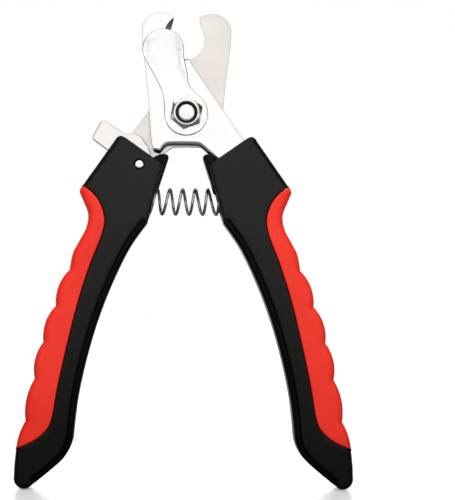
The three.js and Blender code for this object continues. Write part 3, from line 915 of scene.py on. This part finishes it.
def steel(name, pale, dark, smooth_to, rough_to, brush_turn, rim=1.0, painted_edge_shade=1.0):
    """Stamped and polished steel: soft patches of tone, and fine lines from the polishing wheel. A rim below
    1 darkens what the steel mirrors at a glancing angle; the last number, below 1, paints shade on edges and
    bevels."""
    s = Surface(name)
    patches = s.noise(110, 3)
    lines = s.noise(900, 2, stretch=(0.06, 1, 1), turn=(0, brush_turn, 0))
    # colour darkened on faces turned away from the front and the back: painted shade on edges and bevels
    colour = s.scaled(s.ramp(patches, dark, pale), s.ramp(s.facing(), painted_edge_shade, 1.0, 0.72, 0.94))
    s.set(Base_Color=colour, Metallic=1.0, Roughness=s.ramp(lines, smooth_to, rough_to),
          Specular_Tint=(rim, rim, rim, 1))
    s.bump((lines, 0.07, 0.00003), (s.noise(60, 2), 0.03, 0.0004))
    return s.material


def moulded(name, dark, pale, low, high, grain, gloss):
    """Moulded plastic or rubber with a fine spark-eroded grain."""
    s = Surface(name)
    tone = s.noise(45, 4)
    fine = s.noise(grain, 3, 0.6)
    s.set(Base_Color=s.ramp(tone, dark, pale), Roughness=s.ramp(fine, low, high), Specular_IOR_Level=gloss)
    s.bump((fine, 0.15, 0.00004), (s.noise(220, 2), 0.06, 0.0002))
    return s.material


def make_materials():
    return {
        "front_steel": steel("front", (0.97, 0.95, 0.93), (0.94, 0.92, 0.9), 0.16, 0.24, 0.5, painted_edge_shade=0.3),
        # the rear blade's steel is darker than the front blade's: painted shade on the blade that lies behind
        "rear_steel": steel("rear", (0.84, 0.79, 0.75), (0.8, 0.75, 0.71), 0.28, 0.34, -0.5, painted_edge_shade=0.5),
        "guard_steel": steel("guard", (0.97, 0.95, 0.93), (0.93, 0.91, 0.89), 0.14, 0.22, 0.35, painted_edge_shade=0.5),
        "lever_steel": steel("lever", (0.93, 0.88, 0.85), (0.88, 0.84, 0.81), 0.2, 0.28, 1.0, painted_edge_shade=0.5),
        "fastener": steel("plated_steel", (0.93, 0.93, 0.93), (0.84, 0.84, 0.84), 0.08, 0.18, 0.2),
        "spring": steel("spring_steel", (0.62, 0.61, 0.59), (0.45, 0.44, 0.43), 0.12, 0.2, 0.0, rim=0.1),
        "nylon": moulded("nylon", (0.004, 0.014, 0.018), (0.006, 0.020, 0.026), 0.30, 0.45, 1800, 0.25),
        "core": moulded("core_plastic", (0.0008,) * 3, (0.0014,) * 3, 0.3, 0.4, 2400, 0.1),
        "skin": moulded("soft_black", (0.001, 0.0016, 0.0005), (0.0016, 0.0024, 0.001), 0.3, 0.36, 2600, 0.3),
        "grip": moulded("red_rubber", (0.80, 0.024, 0.011), (0.86, 0.032, 0.017), 0.45, 0.58, 2200, 0.2),
    }


# ---- stage --------------------------------------------------------------------------------------
FLOOR_REACH = 4  # metres from the middle to each side
FLOOR_GAP = 0.2  # between the floor and the toe


def make_floor():
    """A white table that stays under the right handle's toe as the handle swings. The tool mirrors only its
    part far away, so that edges that face down show as dark lines."""
    toe = bpy.data.objects.new("toe_middle", None)
    toe.location = (TOE["x"] * MM, MEETING_Y, TOE["z"] * MM)
    bpy.context.scene.collection.objects.link(toe)
    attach(toe, "right_half")
    mesh = bpy.data.meshes.new("floor")
    corners = [(x * FLOOR_REACH, y * FLOOR_REACH, 0) for x, y in ((-1, -1), (1, -1), (1, 1), (-1, 1))]
    mesh.from_pydata(corners, [], [(0, 1, 2, 3)])
    floor = bpy.data.objects.new("floor", mesh)
    floor.location.z = -(TOE["r"] + FLOOR_GAP) * MM
    bpy.context.scene.collection.objects.link(floor)
    follow = floor.constraints.new("COPY_LOCATION")
    follow.target = toe
    follow.use_x = follow.use_y = False
    follow.use_offset = True
    s = Surface("floor")
    away = s.from_origin()
    glow = s.to_camera(s.ramp(away, 0.2, 0.8, 0.25, 0.7), s.ramp(away, 0.0, 0.5, 0.26, 0.5))
    shade = s.scaled(s.ramp(s.noise(2), (0.9, 0.9, 0.9), (0.92, 0.92, 0.92)), s.to_camera(1.0, 0.13))
    s.set(Base_Color=shade, Roughness=s.ramp(s.noise(3), 0.2, 0.26), Emission_Color=(1, 1, 1, 1),
          Emission_Strength=glow)
    mesh.materials.append(s.material)


def make_world():
    """The camera sees plain white. The tool itself sees a dim studio that is brighter above and behind,
    so that its polished edges show as dark lines."""
    world = bpy.data.worlds.new("studio")
    bpy.context.scene.world = world
    world.use_nodes = True
    nodes, links = world.node_tree.nodes, world.node_tree.links
    background = nodes["Background"]
    background.inputs["Color"].default_value = (1, 1, 1, 1)
    split = nodes.new("ShaderNodeSeparateXYZ")
    links.new(nodes.new("ShaderNodeTexCoord").outputs["Generated"], split.inputs[0])
    total = None
    for axis, start, end, low, high in (("Y", 0.6, 0.97, 0.05, 1.0), ("Z", 0.5, 0.95, 0.0, 0.5)):
        glow = nodes.new("ShaderNodeMapRange")
        glow.interpolation_type = "SMOOTHSTEP"
        set_range(glow, start, end, low, high)
        links.new(split.outputs[axis], glow.inputs["Value"])
        if total:
            add = nodes.new("ShaderNodeMath")
            links.new(total, add.inputs[0])
            links.new(glow.outputs["Result"], add.inputs[1])
            total = add.outputs[0]
        else:
            total = glow.outputs["Result"]
    pick = nodes.new("ShaderNodeMix")
    links.new(nodes.new("ShaderNodeLightPath").outputs["Is Camera Ray"], pick.inputs["Factor"])
    links.new(total, pick.inputs["A"])
    pick.inputs["B"].default_value = 1.0
    links.new(pick.outputs["Result"], background.inputs["Strength"])


def make_softbox(name, middle, aim, width, height, radiance, mirrored=True):
    """A plain rectangular softbox of a given brightness, which polished faces mirror or not."""
    light = bpy.data.lights.new(name, "AREA")
    light.shape = "RECTANGLE"
    light.size, light.size_y = width, height
    light.energy = radiance * math.pi * width * height
    lamp = bpy.data.objects.new(name, light)
    lamp.location = middle
    lamp.rotation_euler = (Vector(aim) - Vector(middle)).to_track_quat("-Z", "Y").to_euler()
    lamp.visible_camera = False
    lamp.visible_glossy = mirrored
    bpy.context.scene.collection.objects.link(lamp)


def make_lights():
    make_softbox("front_box", (0, -0.35, 0.15), (0, 0, 0.15), 0.2, 0.41, 1.0)
    for side in (-1, 1):
        make_softbox("front_wing", (side * 0.24, -0.35, 0.15), (side * 0.24, 0, 0.15), 0.26, 0.41, 1.02)
    make_softbox("top_box", (0, -0.16, 0.30), (0, 0, 0), 0.6, 0.12, 1.2)
    make_softbox("front_fill", (0, -0.45, 0.06), (0, 0, -0.02), 0.9, 0.7, 1.38, mirrored=False)
    make_softbox("back_box", (0, 0.7, 0.3), (0, 0, 0.1), 0.8, 0.7, 1.0)
    for side in (-1, 1):
        make_softbox("side_box", (side * 0.7, 0, 0.35), (0, 0, 0), 0.4, 0.4, 0.9, mirrored=False)


CAMERA_AT = Vector((-0.012, MEETING_Y - 0.70, -0.060))
CAMERA_ROLL = math.radians(0.35)
SCENE_HEIGHT = 0.1687  # what the picture's height shows at the tool's distance
SCENE_MIDDLE = Vector((0.0143, MEETING_Y, -0.0456))  # the spot on the tool's plane in the picture's middle


def make_camera():
    """Looks at the tool's front from a little below and left of its middle, with a slight roll."""
    data = bpy.data.cameras.new("camera")
    view = SCENE_MIDDLE - CAMERA_AT
    data.sensor_width = 36
    data.lens = data.sensor_width * view.length / SCENE_HEIGHT
    data.clip_start, data.clip_end = 0.01, 20
    camera = bpy.data.objects.new("camera", data)
    camera.location = CAMERA_AT
    aim = view.to_track_quat("-Z", "Y").to_matrix()
    camera.rotation_euler = (aim @ Matrix.Rotation(CAMERA_ROLL, 3, "Z")).to_euler()
    bpy.context.scene.collection.objects.link(camera)
    bpy.context.scene.camera = camera


def main():
    bpy.context.scene.view_settings.view_transform = "Standard"
    materials = make_materials()
    make_blades(materials)
    make_guard(materials)
    make_lever(materials)
    make_nut(materials)
    make_bolt(materials)
    make_washer(materials)
    make_pin(materials)
    make_spring(materials)
    make_handle("left", -1, materials)
    make_handle("right", 1, materials)
    make_floor()
    make_world()
    make_lights()
    make_camera()


main()
